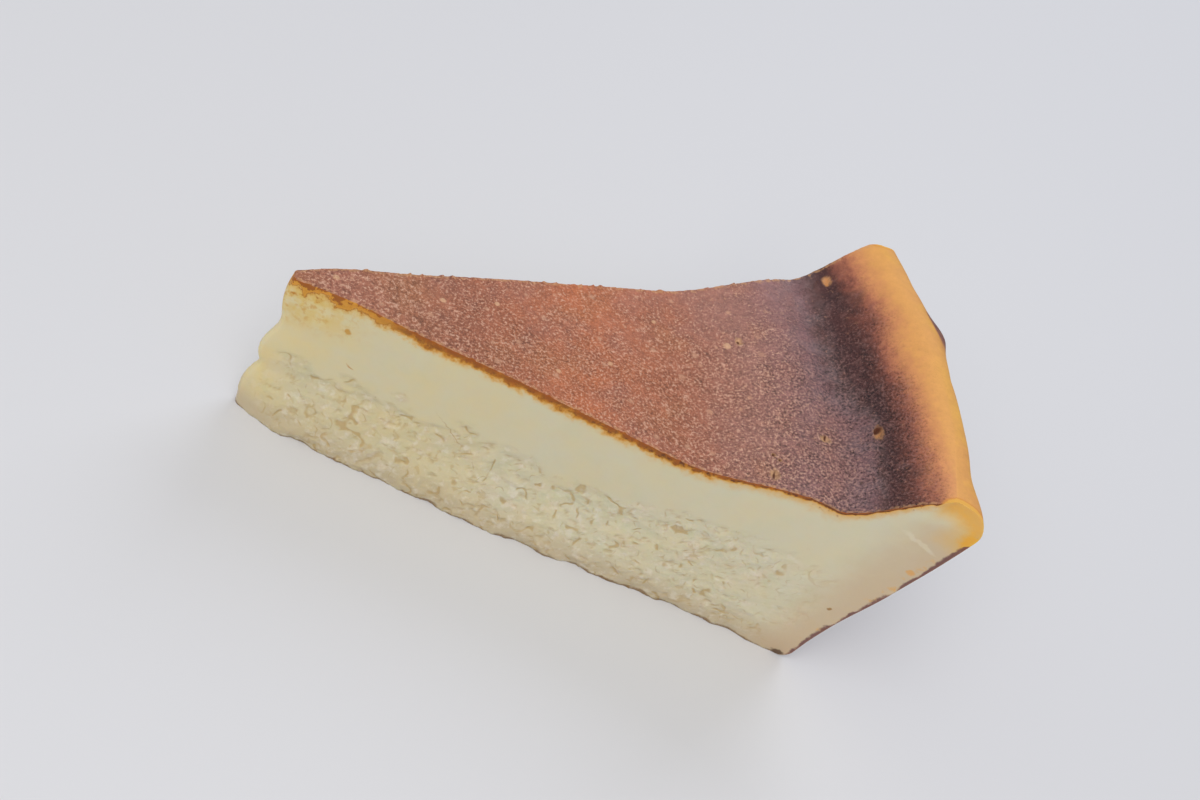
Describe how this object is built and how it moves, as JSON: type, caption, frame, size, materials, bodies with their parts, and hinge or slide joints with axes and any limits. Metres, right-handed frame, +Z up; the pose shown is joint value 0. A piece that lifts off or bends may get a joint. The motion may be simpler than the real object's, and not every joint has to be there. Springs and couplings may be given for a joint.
{
  "type": "basque cheesecake slice",
  "caption": "Wedge of a round burnt-top baked cheesecake, with a flat browned top that rises to a rounded rim, torn crumbly cut sides and paper folds on its outer wall.",
  "frame": {"origin": "centre of the slice's footprint, on the surface it rests on", "axes": "+X from the thin end to the outer rim, +Y from the near cut side to the far one, +Z up"},
  "size_m": [0.098, 0.055, 0.0429],
  "materials": {
    "baked_custard": "pale baked cream-cheese custard under a thin browned skin, soft and matt with a faint moist sheen"
  },
  "bodies": {
    "root": {"cheesecake_slice": "baked_custard"}
  },
  "joints": []
}
